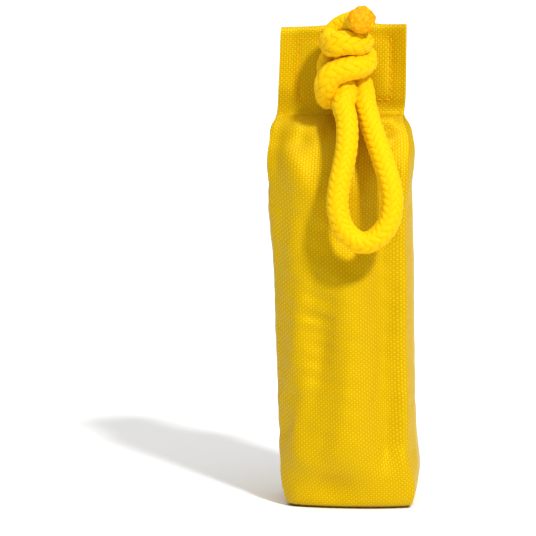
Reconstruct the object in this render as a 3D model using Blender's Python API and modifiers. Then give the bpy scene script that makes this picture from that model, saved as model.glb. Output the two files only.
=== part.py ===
"""Training bumper: a boxed fabric dummy with a sewn tab and a knotted rope handle.

The cover is a front and a back panel, two side gussets and a base panel. At the top the
gussets fold in between the panels and all plies are sewn flat into a tab. An eyelet in
the tab carries a short rope, knotted in front and behind, whose loop is the throwing
handle. Inside are a liner bag and its fill.

Run it with blender --background --python part.py, or from the text editor.
+Z is up, the front faces -Y, and the origin is the middle of the base.
"""
import math

import bmesh
import bpy
from mathutils import Matrix, Vector

MM = 0.001

# Driving dimensions, in millimetres.
GAP = 0.3                    # clearance between pieces that touch
FABRIC = 0.6                 # thickness of one ply of the woven cover
BODY_HALF_WIDTH = 23.0       # at the middle of the body
SHOULDER_HALF_WIDTH = 24.3   # the body flares a little towards the shoulder
TAB_HALF_WIDTH = 22.6
BASE_HALF_WIDTH = 20.6
BODY_HALF_DEPTH = 19.0       # crown of the front and back panels
CORNER_HALF_DEPTH = 15.0     # half of a gusset's width
BASE_ROUND_HEIGHT = 9.0
BASE_TUCK = 3.4              # how far the panels draw in at the base
SHOULDER_Z = 108.0
FOLD_Z = 140.0               # where the tab stands up from the body
SLIT_HALF_DEPTH = 3.4        # mouth of the body under the tab
TAB_FOOT_Z = 141.5
TAB_TOP_Z = 172.0
TAB_PLY_FACES = (1.05, 1.65)       # inner and outer face of an outer ply
GUSSET_PLY_FACES = (0.15, 0.75)    # the folded gusset's plies between them
FOLD_EDGE_INSET = 0.8              # the folded plies end this far inside the tab's edge
CROWN_POWER = 2.6            # how fully the front and back panels swell
FLARE_Z = (70.0, 120.0)      # where the body widens
DRAW_IN_Z = 124.0            # from here up the body narrows to the tab
FOLD_DRAW_IN = 0.5           # a folded gusset's edges stay inside the panels' edges
BASE_ROWS = 4

EYELET_Z = 158.0
BARREL_INNER = 4.6
BARREL_OUTER = 5.3
FLANGE_RADIUS = 8.4
FLANGE = 0.6
ROLL_WIDTH = 1.5             # the barrel's end, rolled over the washer
ROLL_HEIGHT = 0.5

THREAD_RADIUS = 0.25
BOX_STITCH_X = 17.0
BOX_STITCH_Z = (146.0, 168.0)
STITCH_CORNER_GAP = 1.2
SEAM_INSET = 2.2
SEAM_START_Z = 4.0           # the upright seams start above the base seam
BASE_SEAM_CORNER = 3.0       # the base seam cuts its corners by this much

LINER_CLEAR_X = 2.4          # from the liner bag to the cover's foot at the sides
LINER_CLEAR_Y = 0.6          # and to the gussets' width at front and back
LINER_FOOT_Z = 2.2
LINER_TOP_Z = 128.0
LINER_MOUTH_Z = 122.0        # the gathered top is cut off here, which leaves it open
LINER_FILM = 0.4
LINER_SQUARENESS = 0.62
FILL_INSET = 1.2
FILL_BELOW_MOUTH = 4.8

ROPE_RADIUS = 4.0
FRONT_KNOT_MIN = (-8.8, -26.0, 149.8)
FRONT_KNOT_MAX = (13.4, -3.0, 173.4)
STOPPER_MIN = (-11.0, 3.7, 148.0)
STOPPER_MAX = (11.0, 23.0, 168.0)
LOOP_HINGE = (5.9, -20.0, 145.1)

# The loop's route, from the left leg's top, down, round and up the right leg.
LOOP_ROUTE = [
    (2.1, -20.4, 145.2), (2.9, -24.2, 141.5), (3.1, -27.2, 136.3), (2.9, -29.8, 129.9),
    (1.6, -32.4, 122.6), (0.7, -34.1, 116.6), (0.5, -35.6, 108.9), (3.0, -36.6, 101.4),
    (8.6, -37.0, 97.6), (14.0, -36.8, 99.3), (18.1, -36.1, 104.6), (19.3, -35.2, 111.3),
    (18.4, -33.5, 117.6), (16.0, -30.7, 125.2), (13.7, -27.5, 132.2), (11.6, -24.0, 139.0),
    (9.8, -19.6, 145.0),
]
FRONT_TAIL_ROUTE = [(5.4, -9.4, 177.6), (7.0, -14.0, 177.8), (8.2, -19.0, 177.8), (8.6, -24.4, 177.8)]
BACK_TAIL_ROUTE = [(-11.5, 13.0, 157.0), (-13.6, 13.1, 156.8), (-15.6, 13.4, 155.8)]


def clear_scene():
    for item in list(bpy.data.objects):
        bpy.data.objects.remove(item, do_unlink=True)


def new_collection(name):
    collection = bpy.data.collections.new(name)
    bpy.context.scene.collection.children.link(collection)
    return collection


clear_scene()
PARTS = new_collection("training_bumper")
CUTTERS = new_collection("cutters")


def finish(name, colour, roughness, metallic=0.0):
    material = bpy.data.materials.new(name)
    material.use_nodes = True
    shader = material.node_tree.nodes["Principled BSDF"]
    shader.inputs["Base Color"].default_value = (*colour, 1.0)
    shader.inputs["Roughness"].default_value = roughness
    shader.inputs["Metallic"].default_value = metallic
    return material


COVER_COLOUR = (0.78, 0.47, 0.012)
ROPE_COLOUR = (0.90, 0.66, 0.010)
THREAD_COLOUR = (0.74, 0.42, 0.015)
BRASS_COLOUR = (0.72, 0.52, 0.22)
LINER_COLOUR = (0.80, 0.80, 0.76)
FILL_COLOUR = (0.85, 0.84, 0.80)


def add_part(name, data, colour, roughness, metallic=0.0, parent=None):
    """Link one sub-part, with its own material, and hang it on its body's empty."""
    item = bpy.data.objects.new(name, data)
    PARTS.objects.link(item)
    data.materials.append(finish(name + "_finish", colour, roughness, metallic))
    if parent is not None:
        item.parent = parent
        item.matrix_parent_inverse = Matrix.Translation(parent.location).inverted()
    return item


def add_pivot(name, place, parent=None):
    """An empty on a joint's axis."""
    pivot = bpy.data.objects.new(name, None)
    PARTS.objects.link(pivot)
    pivot.location = Vector(place) * MM
    if parent is not None:
        pivot.parent = parent
        pivot.matrix_parent_inverse = Matrix.Translation(parent.location).inverted()
    return pivot


def mesh_from(bm, name, smooth=True):
    bmesh.ops.recalc_face_normals(bm, faces=bm.faces)
    if bm.calc_volume(signed=True) < 0.0:
        bmesh.ops.reverse_faces(bm, faces=bm.faces)
    for face in bm.faces:
        face.smooth = smooth
    mesh = bpy.data.meshes.new(name)
    bm.to_mesh(mesh)
    bm.free()
    return mesh


def ply(name, columns, rows, shape):
    """A thick sheet: a grid in (u, row) with a second layer, placed by shape(u, row, layer)."""
    bm = bmesh.new()
    bmesh.ops.create_grid(bm, x_segments=columns, y_segments=rows, size=1.0)
    lower = bmesh.ops.extrude_face_region(bm, geom=bm.faces[:])
    raised = [v for v in lower["geom"] if isinstance(v, bmesh.types.BMVert)]
    bmesh.ops.translate(bm, verts=raised, vec=(0.0, 0.0, 1.0))
    for vert in bm.verts:
        row = round((vert.co.y + 1.0) / 2.0 * rows)
        layer = round(vert.co.z)
        vert.co = Vector(shape(vert.co.x, row, layer)) * MM
    return mesh_from(bm, name)


def ease(t):
    t = min(max(t, 0.0), 1.0)
    return t * t * (3.0 - 2.0 * t)


def half_width(z):
    flare_start, flare_end = FLARE_Z
    flare = (SHOULDER_HALF_WIDTH - BODY_HALF_WIDTH) * ease((z - flare_start) / (flare_end - flare_start))
    draw_in = (SHOULDER_HALF_WIDTH - TAB_HALF_WIDTH) * ease((z - DRAW_IN_Z) / (FOLD_Z - DRAW_IN_Z))
    tuck = 0.0
    if z < BASE_ROUND_HEIGHT:
        rise = 1.0 - z / BASE_ROUND_HEIGHT
        tuck = (BODY_HALF_WIDTH - BASE_HALF_WIDTH) * (1.0 - math.sqrt(1.0 - rise * rise))
    return BODY_HALF_WIDTH + flare - draw_in - tuck


def body_stations():
    """Side outline of a panel: (height, half depth, inward normal in y and z) for each row."""
    stations = []
    base_steps = 5
    for step in range(base_steps):
        angle = math.radians(90.0) * (1.0 - step / base_steps)
        z = BASE_ROUND_HEIGHT * (1.0 - math.sin(angle))
        depth = BODY_HALF_DEPTH - BASE_TUCK * (1.0 - math.cos(angle))
        stations.append((z, depth, math.cos(angle), math.sin(angle) * 0.6))
    straight_steps = 6
    for step in range(straight_steps):
        z = BASE_ROUND_HEIGHT + (SHOULDER_Z - BASE_ROUND_HEIGHT) * step / straight_steps
        stations.append((z, BODY_HALF_DEPTH, 1.0, 0.0))
    shoulder_steps = 8
    last_angle = math.acos(SLIT_HALF_DEPTH / BODY_HALF_DEPTH)
    for step in range(shoulder_steps + 1):
        angle = last_angle * step / shoulder_steps
        z = SHOULDER_Z + (FOLD_Z - SHOULDER_Z) * math.sin(angle)
        stations.append((z, BODY_HALF_DEPTH * math.cos(angle), math.cos(angle), -math.sin(angle)))
    return stations


STATIONS = body_stations()
BODY_ROWS = len(STATIONS) - 1


def corner_depth(depth):
    return depth * CORNER_HALF_DEPTH / BODY_HALF_DEPTH


def panel_shape(side):
    """Front (side -1) or back (side 1) panel of the body."""
    def shape(u, row, layer):
        z, depth, inward_y, inward_z = STATIONS[row]
        crown = corner_depth(depth) + (depth - corner_depth(depth)) * (1.0 - abs(u) ** CROWN_POWER)
        offset = FABRIC * layer
        return u * half_width(z), side * (crown - offset * inward_y), z + offset * inward_z
    return shape


def gusset_line(u, row):
    """Outer face of a gusset in plan: flat on the body, folded in towards the tab."""
    z, depth, inward_y, inward_z = STATIONS[row]
    corner = corner_depth(depth)
    fold = math.sqrt(max(CORNER_HALF_DEPTH ** 2 - corner ** 2, 0.0)) if z > SHOULDER_Z else 0.0
    folded = fold / CORNER_HALF_DEPTH
    clear = FABRIC + GAP
    spread = corner - clear * inward_y - FABRIC * folded
    width = half_width(z) - FOLD_DRAW_IN * folded
    return width - fold * (1.0 - abs(u)), spread * u, z + clear * inward_z


def gusset_shape(side):
    def shape(u, row, layer):
        x, y, z = gusset_line(u, row)
        before = gusset_line(max(u - 0.02, -1.0), row)
        after = gusset_line(min(u + 0.02, 1.0), row)
        along = Vector((after[0] - before[0], after[1] - before[1])).normalized()
        offset = FABRIC * layer
        return side * (x - along.y * offset), y + along.x * offset, z
    return shape


def base_shape(u, row, layer):
    """Flat base inside the foot of the four upright panels."""
    clear = FABRIC + 2.0 * GAP
    depth = STATIONS[0][1]
    half = half_width(0.0) - clear
    swell = 1.0 - abs(u * half / half_width(0.0)) ** CROWN_POWER
    reach = corner_depth(depth) + (depth - corner_depth(depth)) * swell - clear
    v = 2.0 * row / BASE_ROWS - 1.0
    return u * half, v * reach, FABRIC * layer


def add_body_cover():
    add_part("front_panel", ply("front_panel", 14, BODY_ROWS, panel_shape(-1)), COVER_COLOUR, 0.8)
    add_part("back_panel", ply("back_panel", 14, BODY_ROWS, panel_shape(1)), COVER_COLOUR, 0.8)
    add_part("left_gusset", ply("left_gusset", 8, BODY_ROWS, gusset_shape(-1)), COVER_COLOUR, 0.8)
    add_part("right_gusset", ply("right_gusset", 8, BODY_ROWS, gusset_shape(1)), COVER_COLOUR, 0.8)
    add_part("base_panel", ply("base_panel", 12, BASE_ROWS, base_shape), COVER_COLOUR, 0.8)


def tab_height(row, rows):
    return TAB_FOOT_Z + (TAB_TOP_Z - TAB_FOOT_Z) * row / rows


def tab_ply_shape(side, rows):
    def shape(u, row, layer):
        return u * TAB_HALF_WIDTH, side * TAB_PLY_FACES[1 - layer], tab_height(row, rows)
    return shape


def folded_ply_shape(side, rows):
    """A gusset's end in the tab: a hairpin whose bend points to the middle."""
    inner = TAB_HALF_WIDTH - CORNER_HALF_DEPTH
    edge = TAB_HALF_WIDTH - FOLD_EDGE_INSET
    roundness = 0.2

    def shape(u, row, layer):
        reach = abs(u)
        face = GUSSET_PLY_FACES[layer] * math.copysign(reach ** roundness, u) if reach > 0.01 else 0.0
        bend = inner - (0.5 + 0.4 * layer) * (1.0 - reach) ** 6
        x = bend + (edge - inner) * reach
        return side * x, face, tab_height(row, rows)
    return shape


def drill(item, radius):
    """Cut the eyelet's hole through a ply."""
    bm = bmesh.new()
    turn = Matrix.Translation((0.0, 0.0, EYELET_Z * MM)) @ Matrix.Rotation(math.radians(90.0), 4, "X")
    bmesh.ops.create_cone(bm, cap_ends=True, segments=32, radius1=radius * MM, radius2=radius * MM,
                          depth=20.0 * MM, matrix=turn)
    cutter = bpy.data.objects.new(item.name + "_hole", mesh_from(bm, item.name + "_hole"))
    cutter.hide_render = True
    cutter.display_type = "WIRE"
    CUTTERS.objects.link(cutter)
    cut = item.modifiers.new("eyelet hole", "BOOLEAN")
    cut.operation = "DIFFERENCE"
    cut.solver = "EXACT"
    cut.object = cutter


def add_tab_plies(tab):
    rows = 4
    for name, side in (("tab_front_ply", -1), ("tab_back_ply", 1)):
        item = add_part(name, ply(name, 6, rows, tab_ply_shape(side, rows)), COVER_COLOUR, 0.8, parent=tab)
        drill(item, BARREL_OUTER + GAP)
    for name, side in (("tab_left_fold", -1), ("tab_right_fold", 1)):
        add_part(name, ply(name, 10, rows, folded_ply_shape(side, rows)), COVER_COLOUR, 0.8, parent=tab)


def turned(name, profile, colour, roughness, metallic, parent):
    """Turn a closed (radius, height) profile round the eyelet's axis, which points to the back."""
    bm = bmesh.new()
    corners = [bm.verts.new((radius * MM, 0.0, height * MM)) for radius, height in profile]
    for first, second in zip(corners, corners[1:] + corners[:1]):
        bm.edges.new((first, second))
    bmesh.ops.spin(bm, geom=bm.verts[:] + bm.edges[:], cent=(0.0, 0.0, 0.0), axis=(0.0, 0.0, 1.0),
                   angle=math.radians(360.0), steps=32, use_merge=True)
    bmesh.ops.remove_doubles(bm, verts=bm.verts[:], dist=1e-7)
    bmesh.ops.rotate(bm, verts=bm.verts[:], matrix=Matrix.Rotation(math.radians(-90.0), 3, "X"))
    bmesh.ops.translate(bm, verts=bm.verts[:], vec=(0.0, 0.0, EYELET_Z * MM))
    return add_part(name, mesh_from(bm, name), colour, roughness, metallic, parent)


def add_eyelet(tab):
    face = TAB_PLY_FACES[1] + GAP
    outer = face + FLANGE
    washer_face = outer + GAP
    rolled = BARREL_OUTER + ROLL_WIDTH
    barrel = [(BARREL_INNER, -outer + 0.1), (BARREL_INNER + 0.4, -outer - 0.15), (FLANGE_RADIUS - 0.5, -outer),
              (FLANGE_RADIUS, -outer + 0.25), (FLANGE_RADIUS, -face), (BARREL_OUTER, -face),
              (BARREL_OUTER, washer_face), (rolled - 0.2, washer_face),
              (rolled, washer_face + 0.5 * ROLL_HEIGHT), (BARREL_OUTER + 0.6, washer_face + ROLL_HEIGHT),
              (BARREL_INNER, washer_face + 0.8 * ROLL_HEIGHT)]
    turned("eyelet_barrel", barrel, BRASS_COLOUR, 0.3, 1.0, tab)
    inner = BARREL_OUTER + GAP
    washer = [(inner, face), (FLANGE_RADIUS, face), (FLANGE_RADIUS, outer - 0.2),
              (FLANGE_RADIUS - 0.4, outer), (inner, outer)]
    turned("eyelet_washer", washer, BRASS_COLOUR, 0.3, 1.0, tab)


def smooth_route(points, spacing):
    """Points a given spacing apart on a Catmull-Rom curve through a route."""
    knots = [Vector(point) for point in points]
    knots = [2.0 * knots[0] - knots[1]] + knots + [2.0 * knots[-1] - knots[-2]]
    fine = []
    for a, b, c, d in zip(knots, knots[1:], knots[2:], knots[3:]):
        for step in range(16):
            t = step / 16
            fine.append(0.5 * (2.0 * b + (c - a) * t + (2.0 * a - 5.0 * b + 4.0 * c - d) * t ** 2
                               + (3.0 * b - a - 3.0 * c + d) * t ** 3))
    fine.append(knots[-2])
    lengths = [0.0]
    for first, second in zip(fine, fine[1:]):
        lengths.append(lengths[-1] + (second - first).length)
    count = max(2, round(lengths[-1] / spacing))
    route = []
    index = 0
    for step in range(count + 1):
        target = lengths[-1] * step / count
        while index < len(fine) - 2 and lengths[index + 1] < target:
            index += 1
        part = (target - lengths[index]) / (lengths[index + 1] - lengths[index])
        route.append(fine[index].lerp(fine[index + 1], part))
    return route


def tube(name, route, radius, colour, roughness, parent=None, closed=False):
    curve = bpy.data.curves.new(name, "CURVE")
    curve.dimensions = "3D"
    curve.bevel_depth = radius * MM
    curve.bevel_resolution = 2
    curve.use_fill_caps = not closed
    spline = curve.splines.new("POLY")
    spline.points.add(len(route) - 1)
    for point, place in zip(spline.points, route):
        point.co = (*(Vector(place) * MM), 1.0)
    spline.use_cyclic_u = closed
    spline.use_smooth = True
    return add_part(name, curve, colour, roughness, parent=parent)


def add_box_stitch(tab):
    """Lines of thread on both faces of the tab, one node for each line."""
    low, high = BOX_STITCH_Z
    reach = TAB_PLY_FACES[1] + GAP + THREAD_RADIUS
    clear = STITCH_CORNER_GAP
    for face, side in (("front", -1), ("back", 1)):
        y = side * reach
        lines = {
            "left": [(-BOX_STITCH_X, y, low), (-BOX_STITCH_X, y, high)],
            "right": [(BOX_STITCH_X, y, low), (BOX_STITCH_X, y, high)],
            "lower": [(-BOX_STITCH_X + clear, y, low), (BOX_STITCH_X - clear, y, low)],
            "upper": [(-BOX_STITCH_X + clear, y, high), (BOX_STITCH_X - clear, y, high)],
        }
        for place, ends in lines.items():
            tube(f"tab_stitch_{place}_{face}", ends, THREAD_RADIUS, THREAD_COLOUR, 0.6, tab)


def add_seams():
    """The thread of the four upright seams and of the base seam, inside the cover."""
    rows = [station for station in STATIONS if SEAM_START_Z < station[0] <= SHOULDER_Z]
    for name, side_x, side_y in (("front_left", -1, -1), ("front_right", 1, -1),
                                 ("back_left", -1, 1), ("back_right", 1, 1)):
        line = [(side_x * (half_width(z) - SEAM_INSET), side_y * (corner_depth(depth) - SEAM_INSET), z)
                for z, depth, _, _ in rows]
        tube(f"seam_thread_{name}", line, THREAD_RADIUS, THREAD_COLOUR, 0.6)
    half_x = half_width(0.0) - SEAM_INSET
    half_y = corner_depth(STATIONS[0][1]) - SEAM_INSET
    z = FABRIC + GAP + THREAD_RADIUS
    cut = BASE_SEAM_CORNER
    ring = [(half_x - cut, -half_y, z), (half_x, cut - half_y, z), (half_x, half_y - cut, z),
            (half_x - cut, half_y, z), (cut - half_x, half_y, z), (-half_x, half_y - cut, z),
            (-half_x, cut - half_y, z), (cut - half_x, -half_y, z)]
    tube("seam_thread_base", ring, THREAD_RADIUS, THREAD_COLOUR, 0.6, closed=True)


def lump(low, high, squareness, segments=24, rings=14):
    """A rounded solid that fills a box; squareness 1 is an ellipsoid, less is boxier."""
    bm = bmesh.new()
    bmesh.ops.create_uvsphere(bm, u_segments=segments, v_segments=rings, radius=1.0)
    middle = (Vector(low) + Vector(high)) / 2.0
    half = (Vector(high) - Vector(low)) / 2.0
    for vert in bm.verts:
        place = [math.copysign(abs(c) ** squareness, c) for c in vert.co]
        vert.co = Vector([m + h * p for m, h, p in zip(middle, half, place)]) * MM
    return bm


def add_filling():
    """The liner bag, open at its neck, and the loose fill that it holds."""
    half_x = BASE_HALF_WIDTH - LINER_CLEAR_X
    half_y = CORNER_HALF_DEPTH - LINER_CLEAR_Y
    low = (-half_x, -half_y, LINER_FOOT_Z)
    high = (half_x, half_y, LINER_TOP_Z)
    bm = lump(low, high, LINER_SQUARENESS, 28, 24)
    bmesh.ops.bisect_plane(bm, geom=bm.verts[:] + bm.edges[:] + bm.faces[:],
                           plane_co=(0.0, 0.0, LINER_MOUTH_Z * MM), plane_no=(0.0, 0.0, 1.0),
                           clear_outer=True)
    liner = add_part("liner_bag", mesh_from(bm, "liner_bag"), LINER_COLOUR, 0.5)
    wall = liner.modifiers.new("film", "SOLIDIFY")
    wall.thickness = LINER_FILM * MM
    wall.offset = -1.0
    fill_low = tuple(c + FILL_INSET for c in low)
    fill_high = (half_x - FILL_INSET, half_y - FILL_INSET, LINER_MOUTH_Z - FILL_BELOW_MOUTH)
    fill = lump(fill_low, fill_high, LINER_SQUARENESS, 24, 18)
    add_part("granule_fill", mesh_from(fill, "granule_fill"), FILL_COLOUR, 0.7)


def add_rope(knot, loop):
    knot_mesh = mesh_from(lump(FRONT_KNOT_MIN, FRONT_KNOT_MAX, 0.72), "front_knot")
    add_part("front_knot", knot_mesh, ROPE_COLOUR, 0.7, parent=knot)
    stopper_mesh = mesh_from(lump(STOPPER_MIN, STOPPER_MAX, 0.8), "stopper_knot")
    add_part("stopper_knot", stopper_mesh, ROPE_COLOUR, 0.7, parent=knot)
    neck = [(0.0, FRONT_KNOT_MAX[1] + 0.7, EYELET_Z), (0.0, STOPPER_MIN[1] - 0.5, EYELET_Z)]
    tube("rope_neck", neck, ROPE_RADIUS, ROPE_COLOUR, 0.7, knot)
    tube("rope_tail_front", smooth_route(FRONT_TAIL_ROUTE, 4.0), ROPE_RADIUS, ROPE_COLOUR, 0.7, knot)
    tube("rope_tail_back", smooth_route(BACK_TAIL_ROUTE, 3.0), ROPE_RADIUS, ROPE_COLOUR, 0.7, knot)
    tube("rope_loop", smooth_route(LOOP_ROUTE, 5.0), ROPE_RADIUS, ROPE_COLOUR, 0.7, loop)


tab_pivot = add_pivot("tab_pivot", (0.0, 0.0, FOLD_Z))
knot_pivot = add_pivot("knot_pivot", (0.0, 0.0, EYELET_Z), tab_pivot)
loop_pivot = add_pivot("loop_pivot", LOOP_HINGE, knot_pivot)
add_body_cover()
add_seams()
add_filling()
add_tab_plies(tab_pivot)
add_eyelet(tab_pivot)
add_box_stitch(tab_pivot)
add_rope(knot_pivot, loop_pivot)
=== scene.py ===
# %% [markdown]
# # A training bumper
# A slim fabric dummy for teaching a dog to fetch. The cover is a boxed bag: front and back
# panels, two side gussets and a flat base. At the top the gussets fold in between the
# panels, and all the plies are sewn flat into a tab. A short braided rope goes through the
# tab, knotted in front and behind, and its loop is the throwing handle.
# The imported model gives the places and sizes. This script gives the looks.

# %% Load the frame
import math

import bmesh
import bpy
import numpy as np
from mathutils import Matrix, Vector


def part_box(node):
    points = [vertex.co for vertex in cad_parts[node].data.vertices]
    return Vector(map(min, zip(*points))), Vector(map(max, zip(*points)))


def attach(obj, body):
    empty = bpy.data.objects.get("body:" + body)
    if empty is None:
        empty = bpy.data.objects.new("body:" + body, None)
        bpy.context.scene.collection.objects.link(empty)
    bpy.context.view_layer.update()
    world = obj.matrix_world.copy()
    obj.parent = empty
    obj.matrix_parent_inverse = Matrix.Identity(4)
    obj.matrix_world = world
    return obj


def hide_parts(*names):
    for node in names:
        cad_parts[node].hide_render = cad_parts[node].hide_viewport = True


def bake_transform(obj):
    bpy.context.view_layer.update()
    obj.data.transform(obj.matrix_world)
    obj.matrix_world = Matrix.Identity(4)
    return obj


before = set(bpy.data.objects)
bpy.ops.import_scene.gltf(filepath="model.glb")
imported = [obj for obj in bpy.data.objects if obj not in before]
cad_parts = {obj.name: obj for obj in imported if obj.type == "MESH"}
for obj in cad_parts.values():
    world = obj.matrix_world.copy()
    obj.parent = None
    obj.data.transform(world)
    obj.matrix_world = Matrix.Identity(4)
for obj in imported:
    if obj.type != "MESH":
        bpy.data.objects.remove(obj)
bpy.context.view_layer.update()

MM = 0.001

# %% [markdown]
# ## Camera
# A product shot with a long lens, a little from the right and from above. The bumper
# stands right of the middle of the view, so the aim point is moved to its left.

# %% Camera
VIEW_TURN = math.radians(5.0)
VIEW_TILT = math.radians(7.0)
DISTANCE = 1.25
VIEW_HEIGHT = 0.1914  # what the view takes in at the bumper
MIDDLE_DEPTH = -0.019  # the distance is measured to here
AIM_UP, AIM_LEFT = 0.0864, 0.0263
SENSOR = 36.0


def link_new(name, data):
    """Put a new object that holds this data in the scene."""
    item = bpy.data.objects.new(name, data)
    bpy.context.scene.collection.objects.link(item)
    return item


along = Vector((-math.sin(VIEW_TURN) * math.cos(VIEW_TILT),
                math.cos(VIEW_TURN) * math.cos(VIEW_TILT), -math.sin(VIEW_TILT)))
right = along.cross(Vector((0.0, 0.0, 1.0))).normalized()
up = right.cross(along)
aim = Vector((0.0, MIDDLE_DEPTH, 0.0)) + up * AIM_UP - right * AIM_LEFT

camera_data = bpy.data.cameras.new("studio_camera")
camera_data.sensor_width = SENSOR
camera_data.lens = SENSOR * DISTANCE / VIEW_HEIGHT
camera = link_new("studio_camera", camera_data)
camera.location = aim - along * DISTANCE
camera.rotation_euler = along.to_track_quat("-Z", "Y").to_euler()
bpy.context.scene.camera = camera
print("lens", round(camera_data.lens, 1), "mm")

# %% [markdown]
# ## The rope's route
# One piece of 8 mm braid. From its end behind the tab it makes the stopper knot, goes
# through the eyelet, makes the first turn of the front knot, hangs down as the loop, comes
# back up through the knot, makes the second turn and ends above it. The route is a list of
# points along the middle of the rope, in millimetres, read as one smooth curve.

# %% The rope's route
ROPE_DIAMETER = 0.008

stopper_route = [
    (-15.6, 16.4, 154.0), (-11.5, 15.6, 153.8), (-2.0, 14.5, 153.2), (6.2, 14.5, 155.0),
    (7.4, 15.0, 163.2), (-0.8, 12.0, 167.8), (-7.8, 8.2, 163.6), (-8.6, 8.0, 153.0),
    (-5.2, 14.5, 147.0), (-2.0, 21.5, 150.5), (0.4, 19.5, 159.0), (0.6, 12.0, 158.2),
    (0.0, 5.0, 158.0),
]
first_turn_route = [
    (0.0, 0.0, 158.0), (-0.4, -5.0, 156.0), (-1.0, -7.8, 151.5), (-2.0, -9.0, 148.4),
    (-3.4, -11.2, 147.8), (-4.4, -14.2, 149.4), (-4.6, -17.2, 152.2), (-3.2, -20.0, 155.1),
    (-0.6, -21.6, 157.2), (2.4, -21.6, 158.4), (5.2, -19.8, 158.4), (6.6, -16.6, 158.4),
    (6.6, -12.4, 159.6), (4.4, -8.8, 161.2), (0.8, -7.8, 162.4), (-2.6, -9.8, 161.0),
    (-3.4, -13.2, 156.6), (-2.4, -16.6, 151.6),
]
loop_route = [
    (-0.6, -20.0, 146.2), (1.4, -23.6, 141.5), (2.2, -27.0, 136.3), (2.0, -29.6, 129.9),
    (0.8, -31.6, 123.0), (-0.3, -33.1, 117.2), (-0.6, -34.4, 109.4), (2.1, -35.1, 101.9),
    (7.7, -35.4, 98.0), (13.1, -35.2, 99.7), (17.2, -34.6, 105.1), (18.4, -33.6, 112.1),
    (17.5, -32.0, 118.4), (15.1, -29.2, 125.6), (12.5, -25.6, 132.4), (10.0, -21.2, 138.5),
    (8.0, -17.4, 144.0),
]
second_turn_route = [
    (5.0, -13.4, 149.0), (3.0, -11.2, 154.0), (1.4, -11.0, 160.0), (2.8, -10.2, 165.6),
    (5.8, -12.0, 167.8), (6.8, -16.4, 167.8), (4.2, -20.4, 167.6), (0.2, -21.8, 167.4),
    (-2.8, -20.6, 166.4), (-4.2, -17.4, 165.6), (-3.6, -13.6, 166.6), (-1.4, -12.2, 168.2),
    (1.4, -13.6, 169.8), (4.2, -17.0, 171.6), (6.2, -21.2, 173.8), (7.2, -25.2, 175.4),
]
STEPS_BETWEEN = 24  # fine steps from one point of a route to the next


def travel_along(line):
    """How far along a line each of its points is."""
    return np.concatenate([[0.0], np.cumsum(np.linalg.norm(np.diff(line, axis=0), axis=1))])


def evenly(line, spacing):
    """The same line with evenly spaced points, and how far along it each one is."""
    travelled = travel_along(line)
    wanted = np.linspace(0.0, travelled[-1], round(travelled[-1] / spacing) + 1)
    axes = [np.interp(wanted, travelled, line[:, axis]) for axis in range(line.shape[1])]
    return np.column_stack(axes), wanted


def smooth_line(route, spacing):
    """Evenly spaced points on a Catmull-Rom curve through a route."""
    knots = np.array(route, float)
    knots = np.vstack([2 * knots[0] - knots[1], knots, 2 * knots[-1] - knots[-2]])
    fine = []
    for a, b, c, d in zip(knots, knots[1:], knots[2:], knots[3:]):
        for t in np.arange(0.0, 1.0, 1.0 / STEPS_BETWEEN):
            fine.append(0.5 * (2 * b + (c - a) * t + (2 * a - 5 * b + 4 * c - d) * t ** 2
                               + (3 * b - a - 3 * c + d) * t ** 3))
    fine.append(knots[-2])
    return evenly(np.array(fine), spacing)[0]


def line_length(line):
    return float(np.linalg.norm(np.diff(line, axis=0), axis=1).sum())


whole_route = np.array(stopper_route + first_turn_route + loop_route + second_turn_route) * MM
print("rope as drawn:", round(line_length(smooth_line(whole_route, 0.001)), 3), "m")

# %% [markdown]
# ## Tightening the knots
# As drawn, the turns hidden inside a knot cut into each other. So the line is relaxed:
# where two stretches come nearer than the rope is thick they push each other apart, a
# little smoothing keeps the bends round, and the parts that show are held where they are.

# %% Tighten the knots
RELAX_STEP, RELAX_ROUNDS = 0.0015, 260
BRAID_STEP = 0.0008  # spacing of the finished line's points
TIGHT = 0.92 * ROPE_DIAMETER  # braid in a knot is squeezed a little
NEIGHBOUR_STEPS = 7  # points this near along the rope don't push each other
NEIGHBOUR_REACH = NEIGHBOUR_STEPS * RELAX_STEP
PUSH, ROUNDING, PULL_BACK = 0.5, 0.25, 0.01
NECK_DEPTH, NECK_HALF = 0.005, 0.004  # the stretch inside the eyelet
HANGS_BELOW = 0.143  # the loop is free of the knot below this height
SHOWS_BEFORE = -0.0160  # rope in front of this shows
SHOWN_FREEDOM, END_FREEDOM = 0.06, 0.1
TURNS_BEFORE, TURNS_ABOVE = -0.008, 0.1465
KNOT_LEFT, KNOT_RIGHT = -0.0056, 0.0074  # how far the turns reach, at the middle of the rope
CLEAR_OF_TAB = 0.006  # rope drawn nearer to the tab than this goes through it
keep_out = abs(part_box("tab_front_ply")[0].y) + 0.5 * ROPE_DIAMETER + 0.0010


def hold_weights(line):
    """1 where the rope may move freely, 0 where it is held: the neck and the free loop."""
    free = np.ones(len(line))
    neck = (np.abs(line[:, 1]) < NECK_DEPTH) & (np.abs(line[:, 0]) < NECK_HALF)
    free[neck] = 0.0
    free[line[:, 2] < HANGS_BELOW] = 0.0
    shown = (line[:, 1] < SHOWS_BEFORE) & (line[:, 2] >= HANGS_BELOW)
    free[shown] = SHOWN_FREEDOM
    free[:3] = 0.0
    free[-5:] = END_FREEDOM
    return free[:, None]


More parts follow.
